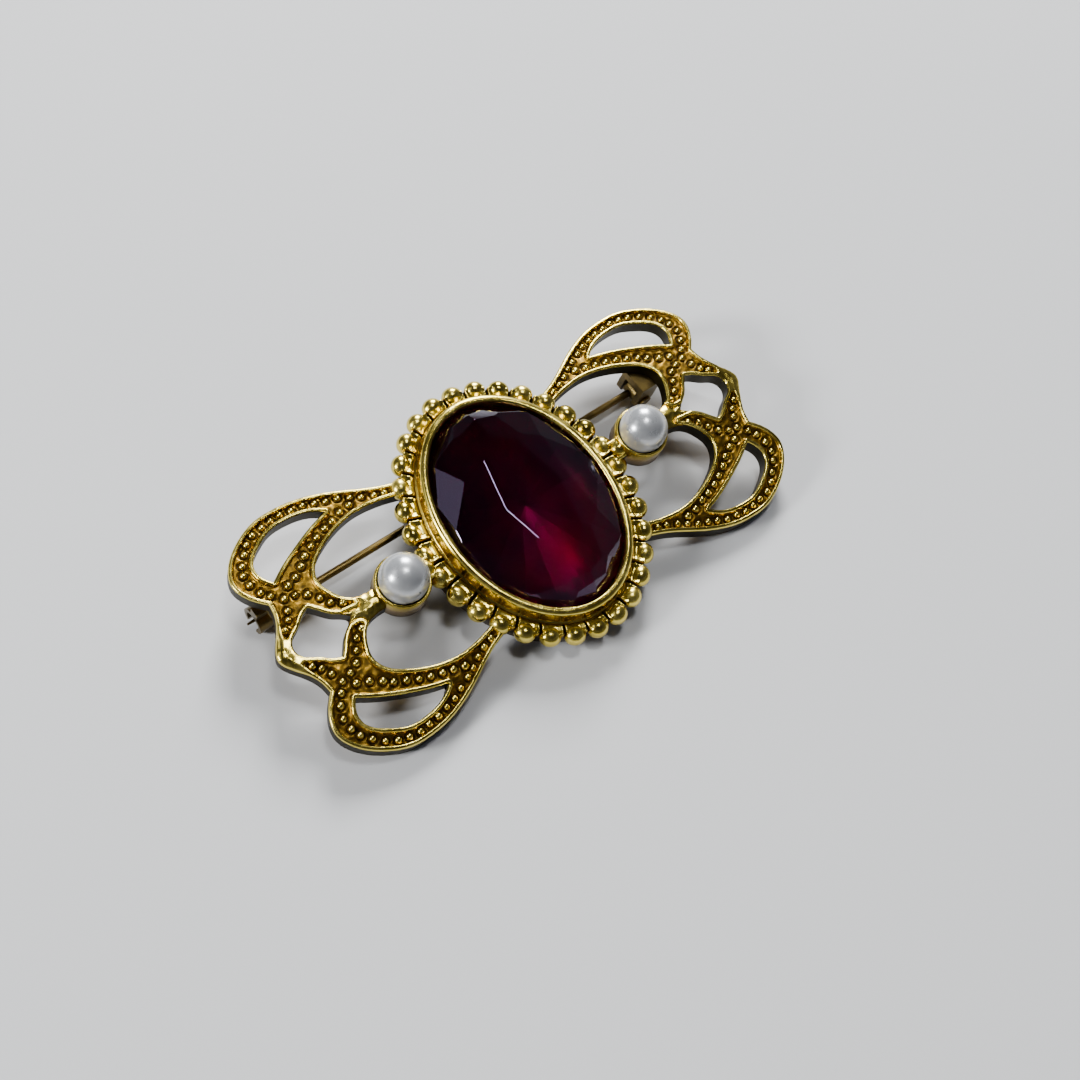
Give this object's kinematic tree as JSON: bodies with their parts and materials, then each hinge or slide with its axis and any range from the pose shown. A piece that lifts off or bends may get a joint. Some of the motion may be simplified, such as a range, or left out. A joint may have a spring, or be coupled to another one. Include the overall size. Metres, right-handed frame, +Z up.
{
  "type": "bow brooch",
  "caption": "Gold-tone openwork bow brooch with a large oval faceted stone in a beaded border, a pearl on each wing and a hinged pin behind.",
  "frame": {"origin": "middle of the brooch's bounding box, on the surface that it lies on", "axes": "+X along the bow towards the pin's hinge, +Y across it, towards the side that the pin holds up, +Z up, 9.3 degrees off the way the brooch faces"},
  "size_m": [0.0586, 0.0298, 0.0101],
  "materials": {
    "gold_metal": "antique gold tone",
    "pin_metal": "gold-plated",
    "red_glass": "polished",
    "pearl": "pearl lacquer"
  },
  "bodies": {
    "brooch": {"setting": "gold_metal", "left_wing": "gold_metal", "right_wing": "gold_metal", "pin_hinge": "gold_metal", "pin_catch": "gold_metal", "hinge_rivet": "gold_metal", "centre_stone": "red_glass", "left_pearl": "pearl", "right_pearl": "pearl"},
    "pin": {"pin_stem": "pin_metal"}
  },
  "joints": [
    {"name": "pin_hinge", "type": "hinge", "parent": "brooch", "child": "pin", "pos_m": [0.02117, 0.00639, 0.00152], "axis": [0, -0.9869, -0.1615], "range_deg": [0, 100]}
  ]
}
